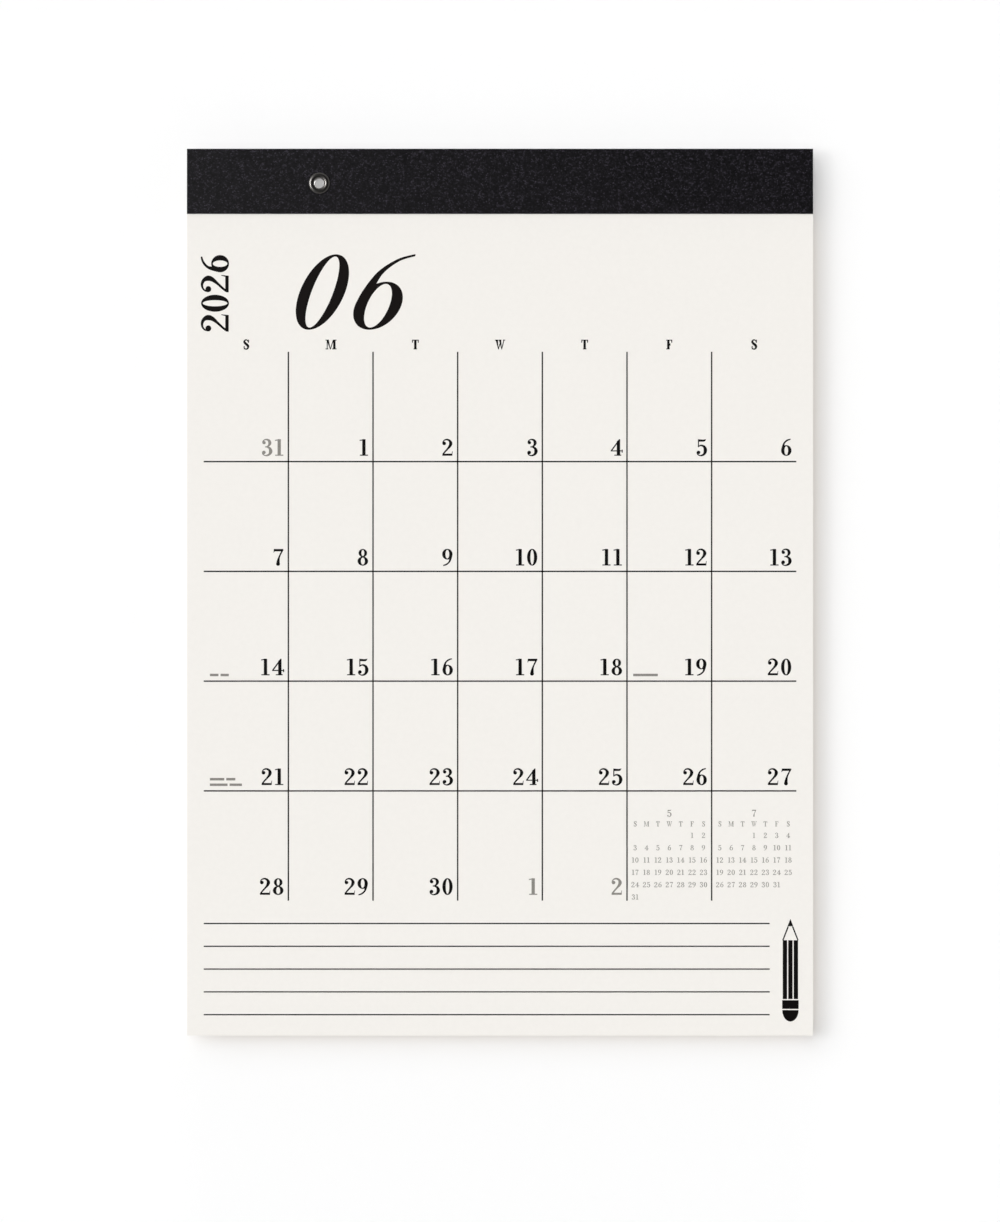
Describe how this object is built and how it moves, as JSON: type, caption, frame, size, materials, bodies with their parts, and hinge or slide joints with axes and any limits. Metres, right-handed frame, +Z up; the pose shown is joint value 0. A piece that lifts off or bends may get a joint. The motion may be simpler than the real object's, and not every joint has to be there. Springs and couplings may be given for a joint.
{
  "type": "wall calendar",
  "caption": "Flat top-bound pad of month sheets on a stiff board, with a folded black binding strip and a metal eyelet to hang it by.",
  "frame": {"origin": "on the eyelet's axis, in the back face of the backing board", "axes": "+Z up as it hangs, +Y from the printed front to the wall, +X to the reader's right"},
  "size_m": [0.3048, 0.0048, 0.4318],
  "materials": {
    "sheet_paper": "uncoated offset paper, slightly warm white",
    "chipboard": "uncoated recycled grey-brown board with visible fibres",
    "binding_stock": "black leather-grained paper stock, matt with a slight sheen",
    "eyelet_metal": "dark nickel plate over drawn sheet metal",
    "staple_wire": "galvanised round wire",
    "print_ink": "matt black offset ink on paper",
    "grey_ink": "screened grey offset ink on paper"
  },
  "bodies": {
    "root": {"page_block": "sheet_paper", "backing_board": "chipboard", "header_strip": "binding_stock", "eyelet": "eyelet_metal", "staples": "staple_wire"}
  },
  "joints": []
}
